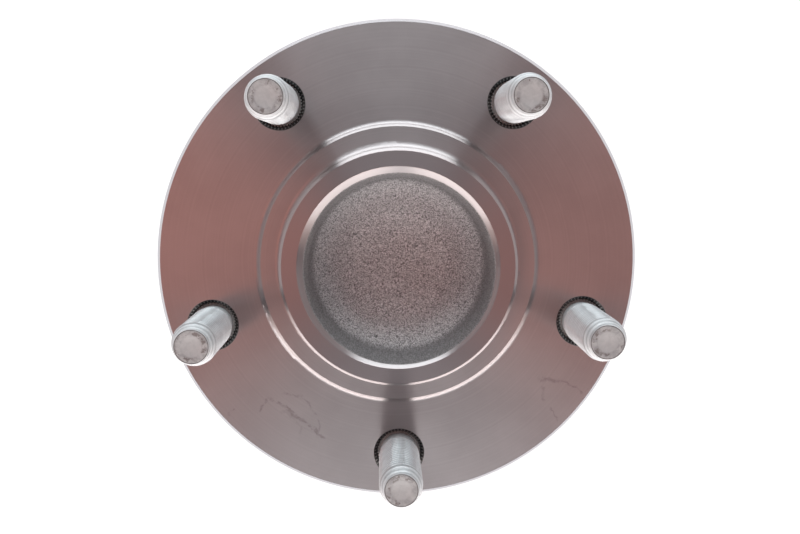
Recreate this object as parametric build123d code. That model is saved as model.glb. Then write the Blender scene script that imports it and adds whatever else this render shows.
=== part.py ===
from build123d import *
import os
from math import ceil, cos, pi, radians, sin, sqrt, tan

# Wheel hub bearing unit for a non-driven wheel: a flanged hub that turns on two rows of balls
# inside a flanged outer ring, which bolts to the steering knuckle.
#
# Frame: +Z is the spin axis and points outboard, towards the wheel. The origin is on that axis,
# in the plane of the flange face that the brake disc sits on. Sizes are in millimetres.
# Sections are drawn in the (radius, height) plane and turned about Z.

# ---------------------------------------------------------------- driving dimensions

# Wheel flange and its studs
STUD_CIRCLE_D = 114.3
STUD_COUNT = 5
FIRST_STUD_ANGLE = -90.0
FLANGE_RIM = 12.85            # from the stud circle to the flange's edge
FLANGE_THICKNESS = 9.5
FLANGE_EDGE_BEVEL = 0.9
STUD_D = 12.0
STUD_PROTRUSION = 31.0        # above the flange face
STUD_END_TAPER = 1.45         # on the radius
STUD_END_TAPER_LENGTH = 4.0   # long lead-in that starts the wheel nut square
STUD_END_DIMPLE_D = 5.6
STUD_END_DIMPLE_DEPTH = 0.15
STUD_NECK_D = 11.2            # plain neck between knurl and thread
STUD_NECK_LENGTH = 1.6
KNURL_RISE = 0.75             # knurl above the thread, on the radius
KNURL_SINK = 1.5              # top of the knurl below the flange face
KNURL_LEAD = 0.6
HEAD_OVERHANG = 1.75
HEAD_HEIGHT = 4.0
HEAD_EDGE_R = 0.8
STUD_HOLE_BEVEL = 0.85

# Brake disc register and wheel pilot
REGISTER_D = 80.6
REGISTER_HEIGHT = 2.7
REGISTER_BEVEL = 0.6
REGISTER_ROOT_R = 1.4
PILOT_D = 67.1
PILOT_HEIGHT = 12.2
PILOT_BEVEL = 0.8
PILOT_ROOT_R = 2.0

# Forged cup in the pilot, a little off the turned axis
CUP_MOUTH_D = 57.0
CUP_D = 54.2
CUP_DRAFT = 8.0
CUP_WALL_DEPTH = 15.0
CUP_DISH = 4.5
CUP_CORNER_R = 9.0
CUP_SHIFT_X = 0.22
CUP_SHIFT_Y = -0.36

# Back of the flange
BACK_EDGE_BEVEL = 1.5
SEAT_MARGIN = 2.1             # flat beyond the stud heads
SEAL_FACE_OVERLAP = 2.5       # seal face beyond the seal bore
SEAL_ROOT_R = 2.0

# Bearing: two rows of angular contact balls, back to back
BALL_D = 12.0
BALLS_PER_ROW = 12
BALL_WEB = 2.2                # cage web between neighbouring pockets
POCKET_GAP = 0.15
RACE_CONFORMITY = 0.52        # race radius over ball diameter
CONTACT_ANGLE = 40.0
RUNNING_GAP = 0.03            # ball to race, along the contact line
ROW_SPACING = 28.0
INNER_SHOULDER_DROP = 2.0     # inner lands inside the pitch circle
OUTER_SHOULDER_RISE = 2.6     # outer ring's middle bore outside the pitch circle
LEDGE = 0.15                  # that holds the balls on a race's open side
INNER_LEDGE = 0.4
INNER_LAND = 4.6
INNER_RING_LEAD = 10.5        # inner ring outboard of its row
INNER_RING_WALL = 5.9
INNER_RING_BEVEL = 0.8
INNER_RING_FRONT_BEVEL = 0.4  # where the ring butts against the spindle's step
SPINDLE_WALL = 5.5
SEAT_UNDERCUT_R = 0.8
COLLAR_FLARE = 2.0
COLLAR_INSET = 4.5            # rolled collar inside the inner ring's land
COLLAR_HEIGHT = 4.5
COLLAR_EDGE_R = 2.2
COLLAR_LIP_R = 1.0            # rolled lip at the spindle's bore
SPINDLE_BORE_DEPTH = 13.0
SPINDLE_BORE_CONE = 3.0

# Cages
CAGE_BORE_GAP = 3.3           # cage bore clear of the spindle
CAGE_RIM_GAP = 1.0            # cage clear of the outer ring's middle bore
CAGE_RING = 2.4               # solid ring beyond the pockets
CAGE_FINGER = 3.0             # fingers past the ball centres
CAGE_EDGE_BEVEL = 0.4

# Outer ring and its knuckle flange
END_GAP = 1.2                 # hub seal face to outer ring
HEAD_CLEARANCE = 0.8          # stud heads to outer ring, along the axis
OUTER_WALL = 4.6              # least wall outside a race
BARREL_STEP = 1.5             # outboard barrel above the spigot
BARREL_BEVEL = 1.0
BARREL_LENGTH = 8.0
KNUCKLE_FLANGE_THICKNESS = 11.0
KNUCKLE_BOLT_COUNT = 4
KNUCKLE_BOLT_BORE = 10.5      # tapping size of M12 x 1.5
KNUCKLE_BOLT_WALL = 6.25
KNUCKLE_HOLE_BEVEL = 0.9
EAR_WEB = 3.1                 # flange between the ears, beyond the barrel
EAR_BLEND_R = 14.0
EAR_EDGE_BEVEL = 1.2
SPIGOT_LENGTH = 12.0
SPIGOT_RELIEF = 0.6
SPIGOT_LEAD = 1.5
SEAL_STEP = 0.95
SEAL_BORE_DEPTH = 4.4
SEAL_TO_BALL = 1.0
CAP_BORE_DEPTH = 4.0
CAP_BORE_MARGIN = 1.5         # outer ring stops this short of the inner ring's end

# Pressed sheet of the seal, the encoder and the cap
SHEET = 0.8
SHEET_BEND_R = 0.4

# Outboard seal
SEAL_SINK = 0.2
LIP_GAP = 0.08
LIP_THICKNESS = 0.6
LIP_ROOT = 1.1
LIP_SPREAD = 1.1              # each face lip's tip outside its root
LIP_ROOT_SINK = 0.5           # lip roots below the rubber's top
RUBBER_LAYER = 1.0            # on the case's web and round its inner edge
RUBBER_EDGE = 0.5             # where the layer thins out at the case's wall
RUBBER_REACH = 3.9            # from the hub's land to the case's web
LAND_LIP_FOOT = 0.5

# Speed encoder on the inner ring
CARRIER_GRIP = 3.6
ENCODER_MARGIN = 1.3          # encoder inside the cap bore's skirt
ENCODER_MAGNET = 1.0
ENCODER_MAGNET_INSET = 1.4

# End cap
CAP_LIP = 2.2
CAP_LIP_HEIGHT = 1.4
CAP_LIP_EDGE_R = 0.7
CAP_SKIRT_SHORT = 0.4
CAP_AIR = 2.5
CAP_CORNER_R = 3.0
CAP_DISH = 0.8
CAP_DISH_R = 16.0
CAP_DISH_SLOPE = 2.0

# ---------------------------------------------------------------- worked-out sizes

STUD_CIRCLE_R = STUD_CIRCLE_D / 2
FLANGE_R = STUD_CIRCLE_R + FLANGE_RIM
STUD_R = STUD_D / 2
KNURL_R = STUD_R + KNURL_RISE
HEAD_R = KNURL_R + HEAD_OVERHANG
BACK_Z = -FLANGE_THICKNESS
SEAT_INNER_R = STUD_CIRCLE_R - HEAD_R - SEAT_MARGIN
OUTER_END_Z = BACK_Z - HEAD_HEIGHT - HEAD_CLEARANCE
SEAL_FACE_Z = OUTER_END_Z + END_GAP

BALL_R = BALL_D / 2
PITCH_R = (BALL_D + 2 * POCKET_GAP + BALL_WEB) / (2 * sin(pi / BALLS_PER_ROW))
RACE_R = RACE_CONFORMITY * BALL_D
RACE_SHIFT = RACE_R - BALL_R - RUNNING_GAP
RACE_SHIFT_R = RACE_SHIFT * cos(radians(CONTACT_ANGLE))
RACE_SHIFT_Z = RACE_SHIFT * sin(radians(CONTACT_ANGLE))
INNER_RACE_R = PITCH_R + RACE_SHIFT_R
OUTER_RACE_R = PITCH_R - RACE_SHIFT_R
INNER_RACE_FLOOR = INNER_RACE_R - RACE_R
OUTER_RACE_FLOOR = OUTER_RACE_R + RACE_R
INNER_LAND_R = PITCH_R - INNER_SHOULDER_DROP
SPINDLE_R = INNER_RACE_FLOOR + INNER_LEDGE
OUTER_MIDDLE_R = PITCH_R + OUTER_SHOULDER_RISE
COUNTERBORE_R = OUTER_RACE_FLOOR - LEDGE
SEAL_BORE_R = COUNTERBORE_R + SEAL_STEP
SEAL_FACE_R = SEAL_BORE_R + SEAL_FACE_OVERLAP
SEAT_R = INNER_RACE_FLOOR - INNER_RING_WALL
SPINDLE_BORE_R = SEAT_R - SPINDLE_WALL

SEAL_BORE_Z = OUTER_END_Z - SEAL_BORE_DEPTH
OUTBOARD_ROW_Z = SEAL_BORE_Z - SEAL_TO_BALL - BALL_R
INBOARD_ROW_Z = OUTBOARD_ROW_Z - ROW_SPACING
MIDDLE_Z = (OUTBOARD_ROW_Z + INBOARD_ROW_Z) / 2
LAND_REACH = sqrt(RACE_R**2 - (INNER_RACE_R - INNER_LAND_R) ** 2)
INNER_RING_OUT_Z = INBOARD_ROW_Z + INNER_RING_LEAD
INNER_RING_END_Z = INBOARD_ROW_Z + RACE_SHIFT_Z - LAND_REACH - INNER_LAND
COLLAR_R = INNER_LAND_R - COLLAR_INSET
COLLAR_END_Z = INNER_RING_END_Z - COLLAR_HEIGHT
OUTER_INBOARD_Z = INNER_RING_END_Z + CAP_BORE_MARGIN
CAP_BORE_Z = OUTER_INBOARD_Z + CAP_BORE_DEPTH

SPIGOT_R = ceil(OUTER_RACE_FLOOR + OUTER_WALL)
BARREL_R = SPIGOT_R + BARREL_STEP
KNUCKLE_OUT_Z = OUTER_END_Z - BARREL_LENGTH
KNUCKLE_FACE_Z = KNUCKLE_OUT_Z - KNUCKLE_FLANGE_THICKNESS
KNUCKLE_CIRCLE_R = BARREL_R + KNUCKLE_BOLT_WALL + KNUCKLE_BOLT_BORE / 2
EAR_R = KNUCKLE_BOLT_BORE / 2 + KNUCKLE_BOLT_WALL

CAP_FLOOR_Z = COLLAR_END_Z - CAP_AIR - SHEET

SHEET_BORE_R = SEAL_BORE_R - SHEET
SEAL_WEB_Z = SEAL_BORE_Z + SEAL_SINK
SEAL_WEB_TOP_Z = SEAL_WEB_Z + SHEET
SEAL_WEB_INNER_R = INNER_LAND_R + RUBBER_REACH
ENCODER_WEB_Z = INNER_RING_END_Z - SHEET
ENCODER_RIM_R = SHEET_BORE_R - ENCODER_MARGIN
EPS = 0.1                     # how far a cutter runs past the face that it opens


# ---------------------------------------------------------------- helpers


def corner(shape, at):
    """The section's vertex nearest to the (radius, height) point at."""
    return shape.vertices().sort_by_distance((at[0], at[1], 0))[0]


def section(points, rounds=(), bevels=()):
    """A closed section through points, with the corners named in rounds and bevels worked."""
    shape = make_face(Polyline(*points, close=True))
    for at, size in rounds:
        shape = fillet(corner(shape, at), size)
    for at, size in bevels:
        shape = chamfer(corner(shape, at), size)
    return shape


def turned(shape):
    """The solid that a (radius, height) section sweeps about Z."""
    return revolve(Plane.XZ * shape, Axis.Z)


def disc(radius, low, high):
    """A cylinder about Z from height low to height high."""
    return Pos(0, 0, low) * Cylinder(radius, high - low, align=(Align.CENTER, Align.CENTER, Align.MIN))


def cone(low_radius, high_radius, low, high):
    """A cone about Z from height low to height high."""
    align = (Align.CENTER, Align.CENTER, Align.MIN)
    return Pos(0, 0, low) * Cone(low_radius, high_radius, high - low, align=align)


def stud_places():
    """The stud axes' places on the flange."""
    return PolarLocations(STUD_CIRCLE_R, STUD_COUNT, FIRST_STUD_ANGLE)


# ---------------------------------------------------------------- hub body


def forged_cup():
    """The hollow in the pilot: drafted wall, large corner and dished floor."""
    foot_r = CUP_D / 2 - CUP_WALL_DEPTH * tan(radians(CUP_DRAFT))
    foot = (foot_r, PILOT_HEIGHT - CUP_WALL_DEPTH)
    floor = (0, foot[1] - CUP_DISH)
    dish_r = (foot_r**2 + CUP_DISH**2) / (2 * CUP_DISH)
    half_way = foot_r / 2
    on_dish = (half_way, floor[1] + dish_r - sqrt(dish_r**2 - half_way**2))
    mouth_r = CUP_D / 2 + EPS * tan(radians(CUP_DRAFT))
    mouth = (mouth_r, PILOT_HEIGHT + EPS)
    outline = Polyline((0, floor[1]), (0, mouth[1]), mouth, foot)
    shape = make_face(outline + ThreePointArc(foot, on_dish, floor))
    shape = fillet(corner(shape, foot), CUP_CORNER_R)
    return Pos(CUP_SHIFT_X, CUP_SHIFT_Y, 0) * turned(shape)


def cup_mouth():
    """The turned 45 degree bevel round the cup's mouth, just deep enough to reach the forged wall."""
    shift = sqrt(CUP_SHIFT_X**2 + CUP_SHIFT_Y**2)
    depth = (CUP_MOUTH_D / 2 - CUP_D / 2 + shift) / (1 - tan(radians(CUP_DRAFT)))
    mouth_r = CUP_MOUTH_D / 2
    return cone(mouth_r - depth, mouth_r + EPS, PILOT_HEIGHT - depth, PILOT_HEIGHT + EPS)


def make_hub_flange():
    """The forging that carries the wheel: pilot, flange, outboard inner race, spindle and rolled collar."""
    pilot_r = PILOT_D / 2
    register_r = REGISTER_D / 2
    pilot_top = (pilot_r, PILOT_HEIGHT)
    pilot_root = (pilot_r, REGISTER_HEIGHT)
    register_top = (register_r, REGISTER_HEIGHT)
    register_root = (register_r, 0)
    front_edge = (FLANGE_R, 0)
    back_edge = (FLANGE_R, BACK_Z)
    seat_inner = (SEAT_INNER_R, BACK_Z)
    seal_edge = (SEAL_FACE_R, SEAL_FACE_Z)
    seal_root = (INNER_LAND_R, SEAL_FACE_Z)
    seat_root = (SEAT_R, INNER_RING_OUT_Z)
    collar_rim = (COLLAR_R, COLLAR_END_Z)
    collar_lip = (SPINDLE_BORE_R + COLLAR_FLARE, COLLAR_END_Z)
    bore_foot_z = INNER_RING_END_Z + SPINDLE_BORE_DEPTH
    shape = section(
        [
            (0, PILOT_HEIGHT),
            pilot_top,
            pilot_root,
            register_top,
            register_root,
            front_edge,
            back_edge,
            seat_inner,
            seal_edge,
            seal_root,
            (INNER_LAND_R, OUTBOARD_ROW_Z),
            (SPINDLE_R, OUTBOARD_ROW_Z),
            (SPINDLE_R, INNER_RING_OUT_Z),
            seat_root,
            (SEAT_R, INNER_RING_END_Z + COLLAR_FLARE),
            (SEAT_R + COLLAR_FLARE, INNER_RING_END_Z),
            (COLLAR_R, INNER_RING_END_Z),
            collar_rim,
            collar_lip,
            (SPINDLE_BORE_R, INNER_RING_END_Z),
            (SPINDLE_BORE_R, bore_foot_z),
            (0, bore_foot_z + SPINDLE_BORE_CONE),
        ],
        rounds=[
            (pilot_root, PILOT_ROOT_R),
            (register_root, REGISTER_ROOT_R),
            (seal_root, SEAL_ROOT_R),
            (collar_rim, COLLAR_EDGE_R),
            (collar_lip, COLLAR_LIP_R),
        ],
        bevels=[
            (pilot_top, PILOT_BEVEL),
            (register_top, REGISTER_BEVEL),
            (front_edge, FLANGE_EDGE_BEVEL),
            (back_edge, BACK_EDGE_BEVEL),
        ],
    )
    shape -= Pos(INNER_RACE_R, OUTBOARD_ROW_Z - RACE_SHIFT_Z) * Circle(RACE_R)
    hub = turned(shape) - cup_mouth() - forged_cup()
    for place in stud_places():
        hub -= place * disc(KNURL_R, BACK_Z - EPS, EPS)
        hub -= place * cone(KNURL_R - EPS, KNURL_R + STUD_HOLE_BEVEL + EPS, -STUD_HOLE_BEVEL - EPS, EPS)
    return hub


def make_stud():
    """A pressed-in wheel stud on the Z axis: head, knurl, neck and thread blank."""
    neck_z = -KNURL_SINK
    thread_z = neck_z + STUD_NECK_LENGTH
    head_foot = (HEAD_R, BACK_Z - HEAD_HEIGHT)
    end_r = STUD_R - STUD_END_TAPER
    knurl_top = (KNURL_R, neck_z)
    neck_r = STUD_NECK_D / 2
    dimple_r = STUD_END_DIMPLE_D / 2
    shape = section(
        [
            (0, BACK_Z - HEAD_HEIGHT),
            head_foot,
            (HEAD_R, BACK_Z),
            (KNURL_R, BACK_Z),
            knurl_top,
            (neck_r, neck_z),
            (neck_r, thread_z),
            (STUD_R, thread_z + STUD_R - neck_r),
            (STUD_R, STUD_PROTRUSION - STUD_END_TAPER_LENGTH),
            (end_r, STUD_PROTRUSION),
            (dimple_r, STUD_PROTRUSION),
            (dimple_r - STUD_END_DIMPLE_DEPTH, STUD_PROTRUSION - STUD_END_DIMPLE_DEPTH),
            (0, STUD_PROTRUSION - STUD_END_DIMPLE_DEPTH),
        ],
        rounds=[(head_foot, HEAD_EDGE_R)],
        bevels=[(knurl_top, KNURL_LEAD)],
    )
    return turned(shape)


def make_inner_ring():
    """The inner ring pressed on the spindle, with the inboard row's inner race."""
    bore_out = (SEAT_R, INNER_RING_OUT_Z)
    rim_out = (SPINDLE_R, INNER_RING_OUT_Z)
    rim_end = (INNER_LAND_R, INNER_RING_END_Z)
    bore_end = (SEAT_R, INNER_RING_END_Z)
    shape = section(
        [
            bore_out,
            rim_out,
            (SPINDLE_R, INBOARD_ROW_Z),
            (INNER_LAND_R, INBOARD_ROW_Z),
            rim_end,
            bore_end,
        ],
        bevels=[
            (rim_out, INNER_RING_FRONT_BEVEL),
            (rim_end, INNER_RING_BEVEL),
            (bore_out, INNER_RING_BEVEL),
            (bore_end, COLLAR_FLARE),
        ],
    )
    shape -= Pos(INNER_RACE_R, INBOARD_ROW_Z + RACE_SHIFT_Z) * Circle(RACE_R)
    return turned(shape)


# ---------------------------------------------------------------- rolling elements


def ball_angle(index, offset=0.0):
    """The angle of a ball about Z, where offset is in ball spacings."""
    return 360.0 * (index + offset) / BALLS_PER_ROW


def make_ball(angle, row_z):
    return Rot(0, 0, angle) * Pos(PITCH_R, 0, row_z) * Sphere(BALL_R)


def make_cage(row_z, inward, offset):
    """A snap cage: a ring on the row's inner side and fingers between the balls, inward being -1 or 1."""
    bore_r = SPINDLE_R + CAGE_BORE_GAP
    rim_r = OUTER_MIDDLE_R - CAGE_RIM_GAP
    ring_z = row_z + inward * (BALL_R + POCKET_GAP + CAGE_RING)
    tip_z = row_z - inward * CAGE_FINGER
    corners = [(bore_r, ring_z), (rim_r, ring_z), (rim_r, tip_z), (bore_r, tip_z)]
    cage = turned(section(corners, bevels=[(at, CAGE_EDGE_BEVEL) for at in corners]))
    for index in range(BALLS_PER_ROW):
        pocket = Pos(PITCH_R, 0, row_z) * Sphere(BALL_R + POCKET_GAP)
        cage -= Rot(0, 0, ball_angle(index, offset)) * pocket
    return cage


# ---------------------------------------------------------------- outer ring body


def knuckle_flange():
    """The eared plate that bolts to the knuckle, with its tapped holes."""
    ears = PolarLocations(KNUCKLE_CIRCLE_R, KNUCKLE_BOLT_COUNT, 180.0 / KNUCKLE_BOLT_COUNT)
    outline = Circle(BARREL_R + EAR_WEB)
    for ear in ears:
        outline += ear * Circle(EAR_R)
    outline = fillet(outline.vertices(), EAR_BLEND_R)
    plate = Pos(0, 0, KNUCKLE_FACE_Z) * extrude(outline, KNUCKLE_FLANGE_THICKNESS)
    plate = chamfer(plate.edges().group_by(Axis.Z)[-1], EAR_EDGE_BEVEL)
    bore_r = KNUCKLE_BOLT_BORE / 2
    mouth_r = bore_r + KNUCKLE_HOLE_BEVEL
    for ear in ears:
        plate -= ear * disc(bore_r, KNUCKLE_FACE_Z - EPS, KNUCKLE_OUT_Z + EPS)
        plate -= ear * cone(mouth_r, bore_r, KNUCKLE_FACE_Z, KNUCKLE_FACE_Z + KNUCKLE_HOLE_BEVEL)
    return plate - disc(SPIGOT_R - SPIGOT_RELIEF, KNUCKLE_FACE_Z - EPS, KNUCKLE_OUT_Z + EPS)


def make_outer_ring():
    """The fixed ring: both outer races, the seal and cap bores, the knuckle flange and spigot."""
    relief_r = SPIGOT_R - SPIGOT_RELIEF
    spigot_z = KNUCKLE_FACE_Z - SPIGOT_LENGTH
    barrel_edge = (BARREL_R, OUTER_END_Z)
    spigot_end = (relief_r, OUTER_INBOARD_Z)
    shape = section(
        [
            (SEAL_BORE_R, OUTER_END_Z),
            barrel_edge,
            (BARREL_R, KNUCKLE_FACE_Z),
            (SPIGOT_R, KNUCKLE_FACE_Z),
            (SPIGOT_R, spigot_z),
            (relief_r, spigot_z - SPIGOT_RELIEF),
            spigot_end,
            (SEAL_BORE_R, OUTER_INBOARD_Z),
            (SEAL_BORE_R, CAP_BORE_Z),
            (COUNTERBORE_R, CAP_BORE_Z),
            (COUNTERBORE_R, INBOARD_ROW_Z),
            (OUTER_MIDDLE_R, INBOARD_ROW_Z),
            (OUTER_MIDDLE_R, OUTBOARD_ROW_Z),
            (COUNTERBORE_R, OUTBOARD_ROW_Z),
            (COUNTERBORE_R, SEAL_BORE_Z),
            (SEAL_BORE_R, SEAL_BORE_Z),
        ],
        bevels=[(barrel_edge, BARREL_BEVEL), (spigot_end, SPIGOT_LEAD)],
    )
    shape -= Pos(OUTER_RACE_R, OUTBOARD_ROW_Z + RACE_SHIFT_Z) * Circle(RACE_R)
    shape -= Pos(OUTER_RACE_R, INBOARD_ROW_Z - RACE_SHIFT_Z) * Circle(RACE_R)
    return turned(shape) + knuckle_flange()


def make_seal_case():
    """The pressed steel case of the outboard seal."""
    rim_z = OUTER_END_Z - SEAL_SINK
    heel = (SEAL_BORE_R, SEAL_WEB_Z)
    shape = section(
        [
            (SEAL_BORE_R, rim_z),
            heel,
            (SEAL_WEB_INNER_R, SEAL_WEB_Z),
            (SEAL_WEB_INNER_R, SEAL_WEB_TOP_Z),
            (SHEET_BORE_R, SEAL_WEB_TOP_Z),
            (SHEET_BORE_R, rim_z),
        ],
        rounds=[(heel, SHEET_BEND_R)],
    )
    return turned(shape)


def face_lip(root_r, root_z):
    """A tapered lip that leans outwards from its root to just under the hub's seal face."""
    tip_r = root_r + LIP_SPREAD
    tip_z = SEAL_FACE_Z - LIP_GAP
    return section(
        [
            (root_r - LIP_ROOT / 2, root_z),
            (root_r + LIP_ROOT / 2, root_z),
            (tip_r + LIP_THICKNESS / 2, tip_z),
            (tip_r - LIP_THICKNESS / 2, tip_z),
        ]
    )


def make_seal_lips():
    """The rubber bonded to the seal case: two lips towards the hub's face and one towards its land."""
    body_r = SEAL_WEB_INNER_R - RUBBER_LAYER
    body_top = SEAL_WEB_TOP_Z + RUBBER_LAYER
    edge_r = SHEET_BORE_R - LIP_ROOT
    shape = section(
        [
            (body_r, SEAL_WEB_Z),
            (SEAL_WEB_INNER_R, SEAL_WEB_Z),
            (SEAL_WEB_INNER_R, SEAL_WEB_TOP_Z),
            (SHEET_BORE_R, SEAL_WEB_TOP_Z),
            (SHEET_BORE_R, SEAL_WEB_TOP_Z + RUBBER_EDGE),
            (edge_r, body_top),
            (body_r, body_top),
        ]
    )
    for root_r in (body_r + LIP_ROOT / 2, edge_r - LIP_ROOT / 2):
        shape += face_lip(root_r, body_top - LIP_ROOT_SINK)
    land_lip_r = INNER_LAND_R + LIP_GAP
    shape += section(
        [
            (body_r, body_top),
            (body_r + LAND_LIP_FOOT, SEAL_WEB_Z),
            (body_r, SEAL_WEB_Z),
            (land_lip_r, SEAL_WEB_Z + LIP_THICKNESS / 2),
            (land_lip_r, SEAL_WEB_Z + LIP_THICKNESS),
        ]
    )
    return turned(shape)


def make_encoder_carrier():
    """The pressed steel ring that carries the encoder on the inner ring's land."""
    grip_z = INNER_RING_END_Z + CARRIER_GRIP
    grip_r = INNER_LAND_R + SHEET
    heel = (INNER_LAND_R, ENCODER_WEB_Z)
    shape = section(
        [
            (INNER_LAND_R, grip_z),
            (grip_r, grip_z),
            (grip_r, INNER_RING_END_Z),
            (ENCODER_RIM_R, INNER_RING_END_Z),
            (ENCODER_RIM_R, ENCODER_WEB_Z),
            heel,
        ],
        rounds=[(heel, SHEET_BEND_R)],
    )
    return turned(shape)


def make_encoder_magnet():
    """The magnetised rubber ring bonded to the carrier's inboard face."""
    inner_r = INNER_LAND_R + ENCODER_MAGNET_INSET
    low = ENCODER_WEB_Z - ENCODER_MAGNET
    outer_top = (ENCODER_RIM_R, ENCODER_WEB_Z)
    return turned(section([(inner_r, ENCODER_WEB_Z), outer_top, (ENCODER_RIM_R, low), (inner_r, low)]))


def make_end_cap():
    """The pressed steel cap that closes the outer ring's inboard end, with a shallow dish in its floor."""
    lip_r = SEAL_BORE_R + CAP_LIP
    lip_z = OUTER_INBOARD_Z - CAP_LIP_HEIGHT
    skirt_z = CAP_BORE_Z - CAP_SKIRT_SHORT
    inner_floor_z = CAP_FLOOR_Z + SHEET
    heel = (SEAL_BORE_R, CAP_FLOOR_Z)
    inner_heel = (SHEET_BORE_R, inner_floor_z)
    lip_rim = (lip_r, lip_z)
    dish_foot_r = CAP_DISH_R + CAP_DISH_SLOPE
    shape = section(
        [
            (SHEET_BORE_R, skirt_z),
            (SEAL_BORE_R, skirt_z),
            (SEAL_BORE_R, OUTER_INBOARD_Z),
            (lip_r, OUTER_INBOARD_Z),
            lip_rim,
            (SEAL_BORE_R, lip_z),
            heel,
            (dish_foot_r, CAP_FLOOR_Z),
            (CAP_DISH_R, CAP_FLOOR_Z + CAP_DISH),
            (0, CAP_FLOOR_Z + CAP_DISH),
            (0, inner_floor_z + CAP_DISH),
            (CAP_DISH_R, inner_floor_z + CAP_DISH),
            (dish_foot_r, inner_floor_z),
            inner_heel,
        ],
        rounds=[
            (heel, CAP_CORNER_R),
            (inner_heel, CAP_CORNER_R - SHEET),
            (lip_rim, CAP_LIP_EDGE_R),
        ],
    )
    return turned(shape)


# ---------------------------------------------------------------- assembly


def make_parts():
    """Every piece of the unit by its node's name."""
    parts = {
        "hub_flange": make_hub_flange(),
        "inner_ring": make_inner_ring(),
        "outer_ring": make_outer_ring(),
        "seal_case": make_seal_case(),
        "seal_lips": make_seal_lips(),
        "encoder_carrier": make_encoder_carrier(),
        "encoder_magnet": make_encoder_magnet(),
        "end_cap": make_end_cap(),
        "cage_outboard": make_cage(OUTBOARD_ROW_Z, -1, 0.0),
        "cage_inboard": make_cage(INBOARD_ROW_Z, 1, 0.5),
    }
    stud = make_stud()
    for number, place in enumerate(stud_places(), start=1):
        parts[f"wheel_stud_{number}"] = place * stud
    for index in range(BALLS_PER_ROW):
        parts[f"ball_outboard_{index + 1:02d}"] = make_ball(ball_angle(index), OUTBOARD_ROW_Z)
        parts[f"ball_inboard_{index + 1:02d}"] = make_ball(ball_angle(index, 0.5), INBOARD_ROW_Z)
    return parts


os.makedirs("parts", exist_ok=True)
for node, piece in make_parts().items():
    export_step(piece, f"parts/{node}.step")
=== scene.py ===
import math
import random
from functools import cached_property

import bpy
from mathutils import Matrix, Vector


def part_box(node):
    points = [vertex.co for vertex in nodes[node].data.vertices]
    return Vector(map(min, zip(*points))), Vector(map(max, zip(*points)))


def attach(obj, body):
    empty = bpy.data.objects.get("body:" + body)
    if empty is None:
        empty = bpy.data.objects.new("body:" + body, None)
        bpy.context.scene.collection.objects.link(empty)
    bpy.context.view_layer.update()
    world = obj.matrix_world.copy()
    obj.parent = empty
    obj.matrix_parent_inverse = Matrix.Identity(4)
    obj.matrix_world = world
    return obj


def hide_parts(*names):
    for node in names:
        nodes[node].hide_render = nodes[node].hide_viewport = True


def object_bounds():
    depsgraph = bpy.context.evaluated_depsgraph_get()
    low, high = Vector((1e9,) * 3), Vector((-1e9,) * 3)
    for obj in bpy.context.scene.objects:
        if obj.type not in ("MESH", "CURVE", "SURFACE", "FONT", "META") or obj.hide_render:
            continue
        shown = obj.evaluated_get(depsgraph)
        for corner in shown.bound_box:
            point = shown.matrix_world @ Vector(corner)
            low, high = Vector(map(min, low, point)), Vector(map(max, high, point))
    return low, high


# Wheel hub bearing, seen from its wheel side. The CAD frame has +Z as the spin axis, pointing
# outboard, and its origin in the plane of the flange face. Lengths in this script are
# millimetres, and MM turns them into Blender's metres. Names that end in _M, lamps and the
# camera are in metres, and the scales of noises are per metre.

MM = 0.001

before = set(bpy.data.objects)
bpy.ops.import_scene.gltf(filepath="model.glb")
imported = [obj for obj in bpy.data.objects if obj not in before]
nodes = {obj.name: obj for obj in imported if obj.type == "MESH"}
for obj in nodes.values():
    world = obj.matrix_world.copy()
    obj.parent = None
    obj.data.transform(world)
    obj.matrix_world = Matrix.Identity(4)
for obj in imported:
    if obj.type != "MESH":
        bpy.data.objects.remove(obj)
cad_low, cad_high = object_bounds()

# ---------------------------------------------------------------- sizes read from the frame

STUDS = [f"wheel_stud_{number}" for number in range(1, 6)]


def box_mm(node):
    """The lowest and highest corner of a CAD node, in millimetres."""
    low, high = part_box(node)
    return [value / MM for value in low], [value / MM for value in high]


PILOT_Z = box_mm("hub_flange")[1][2]
STUD_TOP_Z = box_mm(STUDS[0])[1][2]
HEAD_Z = box_mm(STUDS[0])[0][2]
FLOOR_Z = cad_low.z / MM


def stud_axis(node):
    """The place of a stud's axis, in millimetres."""
    low, high = box_mm(node)
    return (low[0] + high[0]) / 2, (low[1] + high[1]) / 2


# ---------------------------------------------------------------- sizes that the finishes follow

CUP_CENTRE = (0.22, -0.36)     # the forged cup lies a little off the spin axis
CUP_R = 27.1                   # forged wall at the pilot's top face
CUP_DRAFT = 8.0                # degrees
CUP_SLOPE = math.tan(math.radians(CUP_DRAFT))
CUP_LOW_Z = -9.4               # just below the deepest point of the cup
LAND_R = 30.0                  # ground bearing and seal lands of the hub lie inside this
LAND_Z = -14.0                 # and below this
FLANGE_R = 70.0
FLANGE_BACK_Z = -9.5
RIM_R = FLANGE_R - 1.0         # the bright edge of the flange's rim lies outside this
RIM_Z = -1.2                   # and above this
STUD_CIRCLE_R = 57.15
STUD_HOLE_R = 6.75
STUD_HOLE_BEVEL = 0.85
KNUCKLE_FACE_Z = -33.3         # the outer ring is turned below this
RING_FRONT_Z = -14.3           # and on its front face
RING_BORE_R = 36.5             # and inside this
EAR_CENTRE = 36.77             # X and Y of the knuckle bolt holes, on either side
EAR_HOLE_R = 5.25
EAR_THREAD_PITCH = 1.5

# ---------------------------------------------------------------- sizes of the studs

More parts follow.
